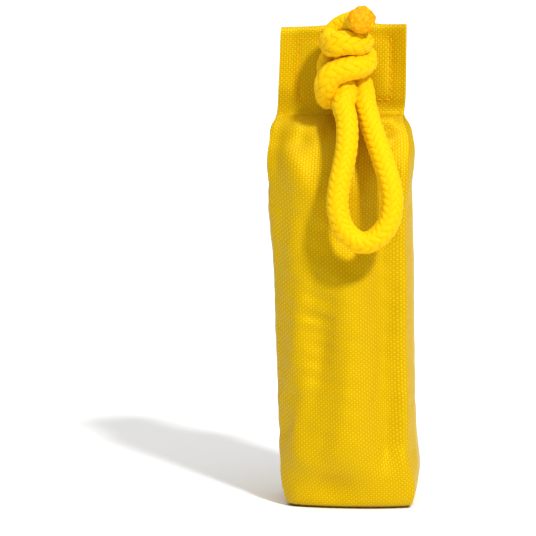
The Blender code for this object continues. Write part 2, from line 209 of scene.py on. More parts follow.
def relax(start, rounds):
    """Push overlapping stretches of a line apart, a little in each round."""
    line = start.copy()
    free = hold_weights(line)
    count = len(line)
    apart = np.abs(np.subtract.outer(np.arange(count), np.arange(count))) >= NEIGHBOUR_STEPS
    side = np.sign(line[:, 1])
    for _ in range(rounds):
        offset = line[:, None, :] - line[None, :, :]
        distance = np.linalg.norm(offset, axis=2) + 1e-9
        overlap = np.where(apart & (distance < TIGHT), TIGHT - distance, 0.0)
        push = (offset / distance[..., None] * overlap[..., None]).sum(axis=1)
        strength = np.maximum(1.0, (overlap > 0).sum(axis=1))[:, None]
        line += PUSH * free * push / strength
        bend = np.zeros_like(line)
        bend[1:-1] = 0.5 * (line[:-2] + line[2:]) - line[1:-1]
        line += ROUNDING * free * bend
        line += PULL_BACK * free * (start - line)
        too_near = (np.abs(line[:, 1]) < keep_out) & (np.abs(start[:, 1]) > CLEAR_OF_TAB)
        too_near &= free[:, 0] > 0
        line[too_near, 1] = side[too_near] * keep_out
        turns = (line[:, 1] < TURNS_BEFORE) & (line[:, 2] > TURNS_ABOVE)
        line[turns, 0] = np.clip(line[turns, 0], KNOT_LEFT, KNOT_RIGHT)
    return line


def closest_self(line, spacing):
    """The nearest that two stretches of the rope come to each other."""
    gap = np.linalg.norm(line[:, None, :] - line[None, :, :], axis=2)
    steps = np.abs(np.subtract.outer(np.arange(len(line)), np.arange(len(line))))
    return float(gap[steps * spacing > NEIGHBOUR_REACH].min())


drawn = smooth_line(whole_route, RELAX_STEP)
print("closest before:", round(closest_self(drawn, RELAX_STEP) / MM, 2), "mm")
tightened = relax(drawn, RELAX_ROUNDS)
print("closest after:", round(closest_self(tightened, RELAX_STEP) / MM, 2), "mm")
rope_line = smooth_line(tightened[::2].tolist() + [tightened[-1].tolist()], BRAID_STEP)

# %% [markdown]
# ## The braid
# The rope is a hollow braid of sixteen flat yarns, eight wound each way, each going over
# two and under two of the others. Every yarn is a swept tube: a grid whose one side runs
# round the yarn and the other along it, closed into a tube.

# %% Frames along a line


def carried_frames(line):
    """Tangent and two cross directions at each point, carried along without twist."""
    tangents = np.gradient(line, axis=0)
    tangents /= np.linalg.norm(tangents, axis=1)[:, None]
    first = np.cross(tangents[0], (0.0, 0.0, 1.0))
    if np.linalg.norm(first) < 0.1:
        first = np.cross(tangents[0], (1.0, 0.0, 0.0))
    first /= np.linalg.norm(first)
    sides = [first]
    for tangent in tangents[1:]:
        side = sides[-1] - tangent * np.dot(sides[-1], tangent)
        sides.append(side / np.linalg.norm(side))
    sides = np.array(sides)
    return tangents, sides, np.cross(tangents, sides)


def grid_of_tube(bm, around, rings):
    """Add a grid to bm for one tube; gives its vertices and the side and ring of each."""
    made = bmesh.ops.create_grid(bm, x_segments=around, y_segments=rings - 1, size=1.0)["verts"]
    sides = [round((v.co.x + 1.0) / 2.0 * around) for v in made]
    steps = [round((v.co.y + 1.0) / 2.0 * (rings - 1)) for v in made]
    return made, np.array(sides), np.array(steps)


def lay_uv(layer, verts, across, up):
    """Write one UV place for each vertex, to all the faces round it."""
    for vert, u, v in zip(verts, across, up):
        for loop in vert.link_loops:
            loop[layer].uv = (u, v)


# %% Weave the yarns
YARNS_EACH_WAY = 8
LEAD = 0.0215  # one turn of a yarn round the rope
YARN_WIDTH = 0.00250
YARN_THICKNESS = 0.00110
YARN_UV_LENGTH = 0.01  # one UV unit along a yarn
WEAVE_DEPTH = 0.00022
YARN_RADIUS = 0.5 * ROPE_DIAMETER - 0.5 * YARN_THICKNESS - WEAVE_DEPTH
AROUND = 8  # sides of a yarn's section
KNOT_SWELL = 0.16  # pulled round itself, the rope flattens and looks wider
SWELL_FROM, SWELL_OVER = 0.140, 0.012


def smooth_step(t):
    """A soft rise from 0 to 1 while t goes from 0 to 1."""
    t = np.clip(t, 0.0, 1.0)
    return t * t * (3.0 - 2.0 * t)


def swell(line):
    """How much wider the rope is at each point: more in the knots than in the loop."""
    return 1.0 + KNOT_SWELL * smooth_step((line[:, 2] - SWELL_FROM) / SWELL_OVER)


def yarn_centres(line, frames, index, way):
    """The middle line of one yarn and its outward direction."""
    _, side, other = frames
    travelled = travel_along(line)
    turn = 2 * math.pi * (index / YARNS_EACH_WAY + way * travelled / LEAD)
    crossing = 2 * YARNS_EACH_WAY * travelled / LEAD
    height = way * WEAVE_DEPTH * np.cos(0.5 * math.pi * (2 * index + way * crossing - 0.5))
    outward = side * np.cos(turn)[:, None] + other * np.sin(turn)[:, None]
    return line + outward * ((YARN_RADIUS + height) * swell(line))[:, None], outward, travelled


def section_points(centres, outward, sides, steps, wider):
    """Places on a flat oval section that is swept along a yarn."""
    along_yarn = np.gradient(centres, axis=0)
    along_yarn /= np.linalg.norm(along_yarn, axis=1)[:, None]
    across = np.cross(along_yarn, outward)
    across /= np.linalg.norm(across, axis=1)[:, None]
    angle = 2 * math.pi * sides / AROUND
    sine, cosine = np.sin(angle), np.cos(angle)
    flat = 0.5 * YARN_WIDTH * cosine * wider[steps]
    thick = 0.5 * YARN_THICKNESS * np.sign(sine) * np.abs(sine) ** 0.8
    return centres[steps] + across[steps] * flat[:, None] + outward[steps] * thick[:, None]


def mesh_from(bm, name):
    """Turn a finished bmesh into a smooth-shaded mesh."""
    for face in bm.faces:
        face.smooth = True
    mesh = bpy.data.meshes.new(name)
    bm.to_mesh(mesh)
    bm.free()
    return mesh


def woven_rope(name, line):
    bm = bmesh.new()
    uv_layer = bm.loops.layers.uv.new("along_yarn")
    frames = carried_frames(line)
    for way in (1, -1):
        for index in range(YARNS_EACH_WAY):
            centres, outward, travelled = yarn_centres(line, frames, index, way)
            made, sides, steps = grid_of_tube(bm, AROUND, len(line))
            places = section_points(centres, outward, sides, steps, swell(line))
            lay_uv(uv_layer, made, sides / AROUND, travelled[steps] / YARN_UV_LENGTH)
            for vert, place in zip(made, places):
                vert.co = place
    bmesh.ops.remove_doubles(bm, verts=bm.verts[:], dist=1e-7)
    bmesh.ops.holes_fill(bm, edges=[e for e in bm.edges if e.is_boundary], sides=AROUND)
    bmesh.ops.recalc_face_normals(bm, faces=bm.faces[:])
    return link_new(name, mesh_from(bm, name))


rope = woven_rope("braided_rope", rope_line)
print("braid:", len(rope.data.polygons), "faces")


# %% [markdown]
# ## The cover
# The real cover is cut as two panels, two gussets and a base, sewn inside out and turned.
# Seen from outside it is one closed bag, so it is made here as one: a grid with one side
# running round the bag and the other up it. The panels swell a little, the gussets fold
# inwards towards the top, and above the fold all plies lie flat as the tab. The grid has a
# UV map in millimetres of cloth, so the threads of the weave bend with the fabric.

# %% Outline of the bag
panel_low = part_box("front_panel")[0]
HALF_DEPTH = -panel_low.y
CORNER_DEPTH = 0.0150
TAB_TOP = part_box("tab_front_ply")[1].z
TAB_HALF = 0.0017  # the flat tab's half depth
FOLD_Z = 0.140  # the tab begins here
SHOULDER_Z = 0.106  # the bag starts to narrow here
MOUTH_DEPTH = 0.0028
BASE_ROUND, BASE_TUCK = 0.007, 0.0030
CLOTH = 0.00055
SHOULDER_POWER = 2.5

# Where the left and right corner stand at each height, in millimetres. The filled bag
# leans a little to its left.
left_outline = [
    (0.0, -19.6), (3.0, -20.8), (9.0, -22.2), (22.0, -23.2), (60.0, -24.5), (86.0, -25.5),
    (105.0, -27.0), (121.0, -27.4), (130.0, -27.2), (136.0, -26.3), (140.0, -25.1),
    (152.0, -24.1), (174.0, -23.4),
]
right_outline = [
    (0.0, 24.2), (3.0, 25.4), (7.0, 25.9), (15.0, 25.2), (28.0, 23.8), (60.0, 22.9), (98.0, 22.6),
    (122.0, 23.2), (132.0, 23.3), (136.5, 22.0), (140.0, 20.9), (148.0, 21.6), (174.0, 21.9),
]


def outline_at(outline, z):
    curve = smooth_line([(height * MM, edge * MM, 0.0) for height, edge in outline], 0.0005)
    return np.interp(z, curve[:, 0], curve[:, 1])


def side_outline():
    """Half depth and height of the panels' middle line, from the base up to the tab's top."""
    foot = np.linspace(math.pi / 2, 0.0, 9)[:-1]
    line = [(HALF_DEPTH - BASE_TUCK * (1.0 - math.cos(angle)), BASE_ROUND * (1.0 - math.sin(angle)))
            for angle in foot]
    line += [(HALF_DEPTH, z) for z in np.linspace(BASE_ROUND, SHOULDER_Z, 20)]
    for angle in np.linspace(0.0, math.pi / 2, 40)[1:]:
        depth = HALF_DEPTH * abs(math.cos(angle)) ** (2.0 / SHOULDER_POWER)
        height = SHOULDER_Z + (FOLD_Z - SHOULDER_Z) * math.sin(angle) ** (2.0 / SHOULDER_POWER)
        if depth > 2.2 * MOUTH_DEPTH:
            line.append((depth, height))
    line += [(0.0042, FOLD_Z + 0.0002), (MOUTH_DEPTH, FOLD_Z - 0.0006), (0.0020, FOLD_Z + 0.0002)]
    line += [(TAB_HALF, z) for z in np.linspace(FOLD_Z + 0.0022, TAB_TOP - 0.0012, 16)]
    line += [(0.0013, TAB_TOP - 0.0003), (0.0005, TAB_TOP)]
    return np.array(line)


ROW_SPACING = 0.00145
side_rows, row_travel = evenly(side_outline(), ROW_SPACING)
ROWS = len(side_rows) - 1
print("cover rows:", ROWS, "  cloth height:", round(row_travel[-1] / MM, 1), "mm")

# %% Columns round the bag
PANEL, GUSSET = (40, 0.0465), (26, 0.031)  # columns, and width of the cloth
AROUND_BAG = 2 * (PANEL[0] + GUSSET[0])
EVEN_PART, CROWDED_PART = 0.72, 0.28  # columns stand closer towards the corners
side_of_column, place_in_side, cloth_round = [], [], []
walked = 0.0
for side, (columns, width) in zip(("front", "right", "back", "left"), (PANEL, GUSSET) * 2):
    for step in range(columns):
        t = 2.0 * step / columns - 1.0
        u = EVEN_PART * t + CROWDED_PART * math.sin(0.5 * math.pi * t)
        side_of_column.append(side)
        place_in_side.append(u)
        cloth_round.append(walked + 0.5 * (u + 1.0) * width)
    walked += width
side_of_column.append("front")
place_in_side.append(-1.0)
cloth_round.append(walked)

# %% Put the grid in the bag's shape
CROWN_POWER = 2.4
GUSSET_BULGE = {"right": 0.0009, "left": -0.0014}
LIP_HALF, LIP_PART = 0.22 * MM, 0.1  # the gussets' folded edges in the tab
ROUND_FROM, ROUND_OVER, ROUND_PART = 0.0165, 0.0075, 0.20


def bag_point(column, row):
    """Where one point of the grid stands on the sewn bag."""
    depth, z = side_rows[row]
    left, right_edge = outlines[0][row], outlines[1][row]
    middle, half = 0.5 * (left + right_edge), 0.5 * (right_edge - left)
    on_tab = float(smooth_step((z - FOLD_Z) / 0.003))
    corner = (1.0 - on_tab) * depth * CORNER_DEPTH / HALF_DEPTH + on_tab * depth
    side, u = side_of_column[column], place_in_side[column]
    if side in ("front", "back"):
        crown = corner + (depth - corner) * (1.0 - abs(u) ** CROWN_POWER)
        face = -1.0 if side == "front" else 1.0
        return middle - face * u * half, face * crown, z
    full = depth * CORNER_DEPTH / HALF_DEPTH
    fold = math.sqrt(max(CORNER_DEPTH ** 2 - full ** 2, 0.0)) if z > SHOULDER_Z else 0.0
    filled = float(smooth_step(z / 0.02) * smooth_step((0.112 - z) / 0.03))
    bulge = GUSSET_BULGE[side] * (1.0 - u * u) * filled
    inward = fold * (1.0 - abs(u))
    lips = LIP_HALF + (corner - LIP_HALF) * max(0.0, (abs(u) - 1.0 + LIP_PART) / LIP_PART)
    spread = (1.0 - on_tab) * corner * abs(u) + on_tab * lips
    outward = 1.0 if side == "right" else -1.0
    return middle + outward * (half + bulge - inward), outward * math.copysign(spread, u), z


def round_left_corner(x, y):
    """The front left corner is rounder than the others: the fill has sunk away from it."""
    near = float(smooth_step((-x - ROUND_FROM) / ROUND_OVER))
    return y * (1.0 - ROUND_PART * near) if y < 0.0 else y


heights = side_rows[:, 1]
outlines = (outline_at(left_outline, heights), outline_at(right_outline, heights))


def bag_mesh(name):
    bm = bmesh.new()
    uv_layer = bm.loops.layers.uv.new("cloth_mm")
    made, columns, rows = grid_of_tube(bm, AROUND_BAG, ROWS + 1)
    lay_uv(uv_layer, made, np.array(cloth_round)[columns] / MM, row_travel[rows] / MM)
    for vert, column, row in zip(made, columns, rows):
        x, y, z = bag_point(column, row)
        vert.co = (x, round_left_corner(x, y), z) if z < FOLD_Z else (x, y, z)
    bmesh.ops.remove_doubles(bm, verts=bm.verts[:], dist=2e-6)
    bmesh.ops.recalc_face_normals(bm, faces=bm.faces[:])
    front = min(bm.faces, key=lambda f: f.calc_center_median().y)
    if front.normal.y > 0.0:
        bmesh.ops.reverse_faces(bm, faces=bm.faces[:])
    return mesh_from(bm, name)


cover = link_new("sewn_cover", bag_mesh("sewn_cover"))
print("cover:", len(cover.data.vertices), "vertices")

# %% [markdown]
# ## Filling the bag
# Loose fill pushes the cover out and leaves soft dents where it has settled. Blender's
# Cloth does this: the base ring and the tab are pinned, pressure works from inside, and
# the cloth is a little longer than its frame, so it buckles gently. The bag is scaled up
# for it, because Cloth is tuned for things a metre in size. What comes out is limited to a
# couple of millimetres and fades out towards the pinned ends.

# %% Simulate the filled cover
SIM_SCALE = 8.0
SIM_FRAMES = 22
SWELL_LIMIT = 0.0022
FREE_FROM, FREE_TO = 0.004, 0.139
FADED_ABOVE = 0.136
CLOTH_SETTINGS = {
    "quality": 6, "mass": 0.15, "tension_stiffness": 25.0, "compression_stiffness": 25.0,
    "shear_stiffness": 12.0, "bending_stiffness": 2.0, "tension_damping": 8.0,
    "compression_damping": 8.0, "shear_damping": 8.0, "air_damping": 3.0,
    "vertex_group_mass": "held", "shrink_min": -0.022, "use_pressure": True,
    "uniform_pressure_force": 3.0,
}


def mesh_points(mesh, what="co"):
    flat = np.empty(len(mesh.vertices) * 3, np.float32)
    mesh.vertices.foreach_get(what, flat)
    return flat.reshape(-1, 3).astype(float)


def set_mesh_points(mesh, points):
    mesh.vertices.foreach_set("co", points.astype(np.float32).ravel())
    mesh.update()


def filled_shape(source):
    """Where the cover's points are after the pressure has pushed it out."""
    start = mesh_points(source)
    mesh = source.copy()
    set_mesh_points(mesh, start * SIM_SCALE)
    dummy = link_new("filling_run", mesh)
    held = dummy.vertex_groups.new(name="held")
    for index in np.where((start[:, 2] < FREE_FROM) | (start[:, 2] > FREE_TO))[0]:
        held.add([int(index)], 1.0, "REPLACE")
    cloth = dummy.modifiers.new("swell", "CLOTH")
    for setting, value in CLOTH_SETTINGS.items():
        setattr(cloth.settings, setting, value)
    cloth.settings.effector_weights.gravity = 0.0
    cloth.collision_settings.use_collision = False
    cloth.point_cache.frame_start = 1
    cloth.point_cache.frame_end = SIM_FRAMES
    scene = bpy.context.scene
    for frame_number in range(1, SIM_FRAMES + 1):
        scene.frame_set(frame_number)
    seen = dummy.evaluated_get(bpy.context.evaluated_depsgraph_get())
    result = mesh_points(seen.to_mesh()) / SIM_SCALE
    seen.to_mesh_clear()
    scene.frame_set(1)
    bpy.data.objects.remove(dummy, do_unlink=True)
    return result


cover_rest = mesh_points(cover.data)
moved = filled_shape(cover.data) - cover_rest
reach = np.linalg.norm(moved, axis=1)
print("swell before the limit:", round(float(np.median(reach)) / MM, 2), "mm, most",
      round(float(reach.max()) / MM, 2), "mm")
moved *= (SWELL_LIMIT * np.tanh(reach / SWELL_LIMIT) / np.maximum(reach, 1e-9))[:, None]
rest_x, rest_z = cover_rest[:, 0], cover_rest[:, 2]
fade = smooth_step((rest_z - FREE_FROM) / 0.012) * smooth_step((FADED_ABOVE - rest_z) / 0.020)
moved *= fade[:, None]

# The corners already stand where they should, so the cloth may move little to the sides.
near_left = np.clip(-rest_x / 0.020 - 0.4, 0.0, 1.0)
moved[:, 0] = np.maximum(moved[:, 0], -SWELL_LIMIT * (0.55 - 0.45 * near_left))
moved[:, 0] = np.minimum(moved[:, 0], 0.4 * SWELL_LIMIT)
set_mesh_points(cover.data, cover_rest + moved)

# %% [markdown]
# ## Shaping with listed bumps
# The simulation doesn't know how this bumper was handled. Long soft ridges and dents, some
# cross wrinkles where the fill has settled and creases at the shoulder are added as smooth
# bumps along the cloth's normal. Every number in this cell is in millimetres. The tab is
# drawn back at the knot, its edges curl forward, and its top edge rises beside the rope.

# %% Bumps along the cloth
BOX_LEFT, BOX_RIGHT, BOX_LOW, BOX_HIGH = -17.0, 16.0, 145.5, 167.5  # the box stitch
GROOVE_DEPTH = 0.5

# Folds that run up the whole bag: outward push, place across the bag, reach, and how much
# of the fold is pressed flat under the rope loop.
LONG_FOLDS = [(3.3, 0.5, 9.0, 0.85), (-2.8, 14.8, 5.0, 0.0), (1.9, 21.8, 2.3, 0.0)]
LOOP_HEIGHT, LOOP_REACH = 101.0, 15.0

# Separate ridges and dents: outward push, place and reach across, place and reach upwards.
BUMPS = [
    (-2.7, -6.5, 5.5, 58.0, 19.0), (1.2, -15.0, 4.5, 62.0, 24.0),
    (1.6, -14.5, 4.5, 20.0, 7.0), (-1.4, 2.0, 8.0, 97.0, 9.0),
]
FOOT_DENT = (-2.0, -4.0, 8.0, 7.0, 6.5)
SLANTED_FOLD, SLANT, SLANT_HEIGHT = (1.8, -15.0, 5.0, 120.0, 14.0), 0.45, 118.0

# Level folds at the shoulders: outward push, height and reach.
RIGHT_SHOULDER = [(1.8, 138.3, 1.5), (-1.5, 135.0, 1.5), (0.6, 130.0, 3.0)]
LEFT_SHOULDER = [(0.9, 136.5, 2.5), (-0.7, 131.0, 2.5)]
WRINKLE_DEPTH, WRINKLE_PITCH = 0.55, 5.8
FAN_DEPTH, FAN_PITCH = 0.35, 9.0


def hump(value, centre, spread):
    return np.exp(-((value - centre) / spread) ** 2)


def bump_at(x, z, push, across, across_reach, height, height_reach):
    return push * hump(x, across, across_reach) * hump(z, height, height_reach)


def front_relief(x, z):
    """Outward push on the front panel at a place on it."""
    lean = x + 1.5 * smooth_step(z / 130.0) - 1.0
    body = smooth_step((z - 8.0) / 16.0) * smooth_step((132.0 - z) / 26.0)
    under_loop = hump(z, LOOP_HEIGHT, LOOP_REACH)
    relief = sum(push * hump(lean, place, reach) * (1.0 - pressed * under_loop)
                 for push, place, reach, pressed in LONG_FOLDS) * body
    relief += sum(bump_at(x, z, *numbers) for numbers in BUMPS)
    relief += bump_at(x, z, *FOOT_DENT) * smooth_step(z / 6.0)
    relief += bump_at(x + SLANT * (z - SLANT_HEIGHT), z, *SLANTED_FOLD)
    wave = np.sin(2 * math.pi * (z + 0.20 * x + 1.1 * np.sin(0.21 * z)) / WRINKLE_PITCH)
    wrinkled = hump(x, -7.0, 8.5) * (hump(z, 69.0, 9.0) + 0.8 * hump(z, 46.0, 8.0))
    relief += WRINKLE_DEPTH * (wave - 0.45 * wave ** 2) * wrinkled
    relief += 0.22 * np.sin(0.62 * x + 0.31 * z) * np.sin(0.47 * z - 0.23 * x + 0.8) * body
    fan = np.sin(2 * math.pi * (x + 0.35 * (140.0 - z)) / FAN_PITCH + 0.6)
    relief += FAN_DEPTH * fan * hump(z, 132.0, 6.0)
    right_part = smooth_step((x - 5.0) / 9.0) * (1.0 - smooth_step((x - 16.5) / 4.5))
    left_part = smooth_step((-x - 6.0) / 9.0)
    for folds, part in ((RIGHT_SHOULDER, right_part), (LEFT_SHOULDER, left_part)):
        relief += sum(push * hump(z, height, reach) for push, height, reach in folds) * part
    return relief


def gusset_relief(x, z, y):
    """A slight waviness of the gussets."""
    body = smooth_step((z - 10.0) / 20.0) * smooth_step((125.0 - z) / 20.0)
    return 0.10 * np.sin(2 * math.pi * (z + 0.4 * y) / 11.0) * body


def tab_drape(x, z):
    """How far the tab moves along Y (negative is forward) and up."""
    over = smooth_step((z - 141.5) / 9.0)
    curl = -2.4 * np.abs(np.clip(x / 22.0, -1.2, 1.2)) ** 2.6
    valley = 0.7 * hump(x, 1.0, 7.0)
    ripple = 0.45 * np.sin(2 * math.pi * (x + 0.30 * (z - 150.0)) / 17.0 + 0.4)
    lift = smooth_step((z - 150.0) / 22.0) * (2.9 * hump(x, 1.5, 6.5) + 0.030 * (x - 2.0))
    crease = 0.9 * hump(z, 143.2, 1.7) * smooth_step((x - 4.0) / 8.0)
    return over * (curl + valley + ripple) + crease, lift


def stitch_groove(x, z):
    """How deep the box stitch pulls the tab's faces in."""
    upright = (hump(x, BOX_LEFT, 1.0) + hump(x, BOX_RIGHT, 1.0)) * ((z > BOX_LOW) & (z < BOX_HIGH))
    level = (hump(z, BOX_LOW, 0.9) + hump(z, BOX_HIGH, 0.9)) * ((x > BOX_LEFT) & (x < BOX_RIGHT))
    return GROOVE_DEPTH * np.clip(upright + level, 0.0, 1.0)


# %% Shape the cover
FOOT_GAP = 0.0009  # the bag's rolled foot stays just clear of the floor
BELOW_TAB = 141.0
FACE_DEPTH, EDGE_FADE = 11.0, 4.5


def shape_cover(mesh):
    """Put the bumps on both panels and the gussets, and drape the tab."""
    points = mesh_points(mesh)
    normals = mesh_points(mesh, "normal")
    x, y, z = (cover_rest[:, i] / MM for i in range(3))
    front = np.clip(-y / FACE_DEPTH - 0.25, 0.0, 1.0) * (z < BELOW_TAB)
    shoulder = smooth_step((-y - 1.2) / 2.0) * smooth_step((z - 124.0) / 8.0) * (z < BELOW_TAB)
    front = np.maximum(front, shoulder * (1.0 - smooth_step((np.abs(x) - 16.5) / EDGE_FADE)))
    back = np.clip(y / FACE_DEPTH - 0.25, 0.0, 1.0) * (z < BELOW_TAB)
    push = front * front_relief(x, z) + 0.7 * back * front_relief(-x + 3.0, z)
    sides = (1.0 - np.clip(np.abs(y) / 13.0, 0.0, 1.0)) * (z < 120.0)
    push += sides * gusset_relief(x, z, y)
    points += normals * (push * MM)[:, None]
    drape, lift = tab_drape(x, z)
    points[:, 1] += (drape - np.sign(y) * stitch_groove(x, z) * (np.abs(y) > 1.2)) * MM
    points[:, 2] += lift * MM
    points[:, 2] = np.maximum(points[:, 2], FOOT_GAP)
    set_mesh_points(mesh, points)


shape_cover(cover.data)

# %% Hole for the eyelet
EYELET_Z = 0.158
HOLE = 0.0056


def open_hole(mesh):
    """Take out the tab's faces inside the eyelet and round off the edge that is left."""
    bm = bmesh.new()
    bm.from_mesh(mesh)
    inside = [f for f in bm.faces
              if f.calc_center_median().z > 0.145
              and math.hypot(f.calc_center_median().x, f.calc_center_median().z - EYELET_Z) < HOLE]
    bmesh.ops.delete(bm, geom=inside, context="FACES")
    for vert in bm.verts:
        if vert.is_boundary and 0.147 < vert.co.z < 0.1695 and abs(vert.co.x) < 0.009:
            angle = math.atan2(vert.co.z - EYELET_Z, vert.co.x)
            vert.co.x = HOLE * math.cos(angle)
            vert.co.z = EYELET_Z + HOLE * math.sin(angle)
    bm.to_mesh(mesh)
    bm.free()


open_hole(cover.data)
wall = cover.modifiers.new("cloth thickness", "SOLIDIFY")
wall.thickness = CLOTH
wall.offset = -1.0
wall.use_even_offset = False
smooth_cloth = cover.modifiers.new("smooth cloth", "SUBSURF")
smooth_cloth.levels = smooth_cloth.render_levels = 1
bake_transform(cover)
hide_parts("front_panel", "back_panel", "left_gusset", "right_gusset",
            "tab_front_ply", "tab_back_ply", "tab_left_fold", "tab_right_fold")

# %% [markdown]
# ## Base
# The base is a flat panel sewn into the foot of the bag. Its outline is the bag's own
# lowest ring, drawn in a little and filled.

# %% Base panel
DRAWN_IN = 0.955
RIM_Z, BASE_Z = 0.0016, 0.0003


def base_mesh(name):
    """The foot ring of the cover, drawn in, filled and rolled under at its rim."""
    bm = bmesh.new()
    bm.from_mesh(cover.data)
    rim = [v for v in bm.verts if v.is_boundary and v.co.z < 0.004]
    ring = [(v.co.x, v.co.y) for v in rim]
    bm.free()
    ring.sort(key=lambda p: math.atan2(p[1], p[0]))
    bm = bmesh.new()
    uv_layer = bm.loops.layers.uv.new("cloth_mm")
    corners = [bm.verts.new((x * DRAWN_IN, y * DRAWN_IN, RIM_Z)) for x, y in ring]
    face = bm.faces.new(corners)
    bmesh.ops.inset_region(bm, faces=[face], thickness=0.0016, depth=0.0)
    for vert in face.verts:
        vert.co.z = BASE_Z
    bmesh.ops.inset_region(bm, faces=[face], thickness=0.003, depth=0.0)
    bmesh.ops.triangulate(bm, faces=[face])
    verts = bm.verts[:]
    lay_uv(uv_layer, verts, [v.co.x / MM for v in verts], [v.co.y / MM for v in verts])
    bmesh.ops.recalc_face_normals(bm, faces=bm.faces[:])
    if sum(f.normal.z * f.calc_area() for f in bm.faces) > 0.0:
        bmesh.ops.reverse_faces(bm, faces=bm.faces[:])
    return mesh_from(bm, name)


base = link_new("base_cloth", base_mesh("base_cloth"))
base_wall = base.modifiers.new("cloth thickness", "SOLIDIFY")
base_wall.thickness = CLOTH
base_wall.offset = -1.0
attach(base, "dummy_body")
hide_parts("base_panel")

# %% [markdown]
# ## Materials
# Every finish is built from nodes. Patterns on cloth follow the cloth's own UV map in
# millimetres, patterns on yarn follow the yarn, and the rest read Object coordinates.

# %% Small helpers for nodes


def start_material(name, colour, roughness, specular=0.5, sheen=(0.0, 0.5, (1.0, 1.0, 1.0))):
    """A Principled material; sheen is its weight, roughness and tint."""
    material = bpy.data.materials.new(name)
    material.use_nodes = True
    tree = material.node_tree
    shader = tree.nodes["Principled BSDF"]
    shader.inputs["Base Color"].default_value = (*colour, 1.0)
    shader.inputs["Roughness"].default_value = roughness
    shader.inputs["Specular IOR Level"].default_value = specular
    for part, value in zip(("Weight", "Roughness", "Tint"), (*sheen[:2], (*sheen[2], 1.0))):
        shader.inputs["Sheen " + part].default_value = value
    return material, tree, shader


def math_node(tree, operation, first, second=None, third=None, clamp=False):
    node = tree.nodes.new("ShaderNodeMath")
    node.operation = operation
    node.use_clamp = clamp
    for socket, value in zip(node.inputs, (first, second, third)):
        if value is None:
            continue
        if isinstance(value, (int, float)):
            socket.default_value = value
        else:
            tree.links.new(value, socket)
    return node.outputs[0]


def ridges(tree, value):
    """A row of rounded ridges, one from each whole number to the next."""
    turned = math_node(tree, "SINE", math_node(tree, "MULTIPLY", value, math.pi))
    return math_node(tree, "ABSOLUTE", turned)


def mix_colour(tree, factor, first, second):
    node = tree.nodes.new("ShaderNodeMix")
    node.data_type = "RGBA"
    sockets = (node.inputs[0], node.inputs[6], node.inputs[7])
    for socket, value in zip(sockets, (factor, first, second)):
        if isinstance(value, tuple):
            socket.default_value = (*value, 1.0)
        elif isinstance(value, (int, float)):
            socket.default_value = value
        else:
            tree.links.new(value, socket)
    return node.outputs[2]


def bump(tree, shader, height, strength, distance):
    node = tree.nodes.new("ShaderNodeBump")
    node.inputs["Strength"].default_value = strength
    node.inputs["Distance"].default_value = distance
    tree.links.new(height, node.inputs["Height"])
    tree.links.new(node.outputs["Normal"], shader.inputs["Normal"])


def object_place(tree):
    return tree.nodes.new("ShaderNodeTexCoord").outputs["Object"]


def noise(tree, vector, scale, detail=2.0):
    node = tree.nodes.new("ShaderNodeTexNoise")
    node.inputs["Scale"].default_value = scale
    node.inputs["Detail"].default_value = detail
    tree.links.new(vector, node.inputs["Vector"])
    return node.outputs["Fac"]


def grains(tree, scale):
    """How far each place is from the nearest of many scattered points."""
    node = tree.nodes.new("ShaderNodeTexVoronoi")
    node.inputs["Scale"].default_value = scale
    tree.links.new(object_place(tree), node.inputs["Vector"])
    return node.outputs["Distance"]


# %% [markdown]
# ### Woven cover
# The cover is a plain weave of thick shiny yarn. In each cell of the checker the warp
# or the weft lies on top. The top yarn is a rounded bump that is highest in the middle
# of its cell. Between the cells the colour is darker: painted shade in the gaps. The warp
# is a little lighter, and lightest on its crown, which is partly its own tone and partly
# a painted highlight.

# %% Plain weave
WARP_PITCH, WEFT_PITCH = 0.89, 0.76  # millimetres of cloth to one yarn
# Warp tone: the warp's own lighter colour, and a painted highlight where it lies on the warp
# crowns. Gap tone: painted shade between the yarns.
WEFT_TONE, WARP_TONE_AND_HIGHLIGHT, GAP_SHADE_TONE = (0.565, 0.342, 0.0012), (0.69, 0.512, 0.004), (0.38, 0.128, 0.0003)
MOTTLED_TONE, WORN_TONE = (0.69, 0.405, 0.002), (0.79, 0.615, 0.014)


def plain_weave(tree):
    """Height of the weave and which yarn is on top, from the cloth's UV map."""
    cloth = tree.nodes.new("ShaderNodeUVMap")
    cloth.uv_map = "cloth_mm"
    parts = tree.nodes.new("ShaderNodeSeparateXYZ")
    tree.links.new(cloth.outputs["UV"], parts.inputs[0])
    cells, rounds = [], []
    for socket, pitch in ((parts.outputs["X"], WARP_PITCH), (parts.outputs["Y"], WEFT_PITCH)):
        scaled = math_node(tree, "DIVIDE", socket, pitch)
        cells.append(math_node(tree, "FLOOR", scaled))
        rounds.append(ridges(tree, scaled))
    parity = math_node(tree, "PINGPONG", math_node(tree, "ADD", cells[0], cells[1]), 1.0)
    across_warp, across_weft = rounds
    warp = math_node(tree, "MULTIPLY", math_node(tree, "POWER", across_warp, 0.6),
                     math_node(tree, "MULTIPLY_ADD", across_weft, 0.55, 0.45))
    weft = math_node(tree, "MULTIPLY", math_node(tree, "POWER", across_weft, 0.6),
                     math_node(tree, "MULTIPLY_ADD", across_warp, 0.55, 0.45))
    mixed = tree.nodes.new("ShaderNodeMix")
    mixed.data_type = "FLOAT"
    tree.links.new(parity, mixed.inputs[0])
    tree.links.new(weft, mixed.inputs[2])
    tree.links.new(warp, mixed.inputs[3])
    return mixed.outputs[0], parity, cloth.outputs["UV"]


